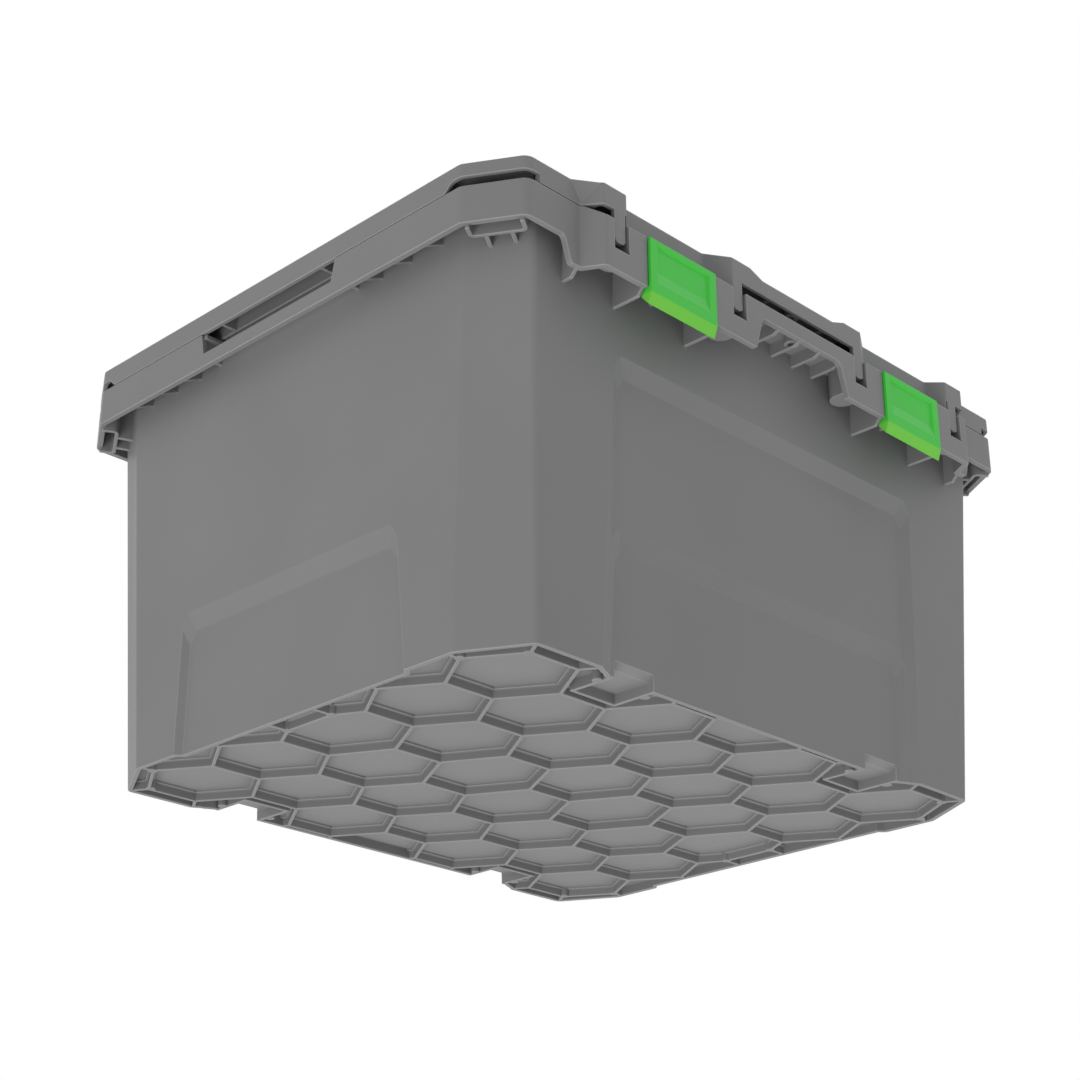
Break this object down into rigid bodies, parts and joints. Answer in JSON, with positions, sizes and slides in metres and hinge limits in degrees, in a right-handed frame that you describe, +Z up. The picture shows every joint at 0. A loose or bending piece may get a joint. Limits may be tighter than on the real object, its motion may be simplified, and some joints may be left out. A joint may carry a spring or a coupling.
{
  "type": "lidded plastic storage box",
  "caption": "Heavy moulded storage box with a ribbed honeycomb base, a stacking lid with a seal, swinging snap latches, handle bars and end hand slots.",
  "frame": {"origin": "centre of the base, on the plane the box stands on", "axes": "+X along the latch sides (the long way), +Y from the front to the back, +Z up"},
  "size_m": [0.524, 0.4684, 0.2937],
  "materials": {
    "grey_plastic": "fine satin texture, moulded polypropylene",
    "green_plastic": "satin, moulded polypropylene",
    "seal_rubber": "smooth, foamed rubber",
    "pin_steel": "drawn"
  },
  "bodies": {
    "tub": {"tub": "grey_plastic"},
    "lid": {"lid": "grey_plastic", "lid_seal": "seal_rubber", "latch_pin_front_left": "pin_steel", "latch_pin_front_right": "pin_steel", "latch_pin_back_left": "pin_steel", "latch_pin_back_right": "pin_steel"},
    "latch_front_left": {"latch_front_left": "green_plastic"},
    "latch_front_right": {"latch_front_right": "green_plastic"},
    "latch_back_left": {"latch_back_left": "green_plastic"},
    "latch_back_right": {"latch_back_right": "green_plastic"}
  },
  "joints": [
    {"name": "lid_lift", "type": "slide", "parent": "tub", "child": "lid", "axis": [0, 0, 1], "range_m": [0, 0.12]},
    {"name": "latch_front_left_swing", "type": "hinge", "parent": "lid", "child": "latch_front_left", "pos_m": [-0.1198, -0.227, 0.2679], "axis": [-1, 0, 0], "range_deg": [0, 110]},
    {"name": "latch_front_right_swing", "type": "hinge", "parent": "lid", "child": "latch_front_right", "pos_m": [0.1198, -0.227, 0.2679], "axis": [-1, 0, 0], "range_deg": [0, 110]},
    {"name": "latch_back_left_swing", "type": "hinge", "parent": "lid", "child": "latch_back_left", "pos_m": [-0.1198, 0.227, 0.2679], "axis": [1, 0, 0], "range_deg": [0, 110]},
    {"name": "latch_back_right_swing", "type": "hinge", "parent": "lid", "child": "latch_back_right", "pos_m": [0.1198, 0.227, 0.2679], "axis": [1, 0, 0], "range_deg": [0, 110]}
  ]
}
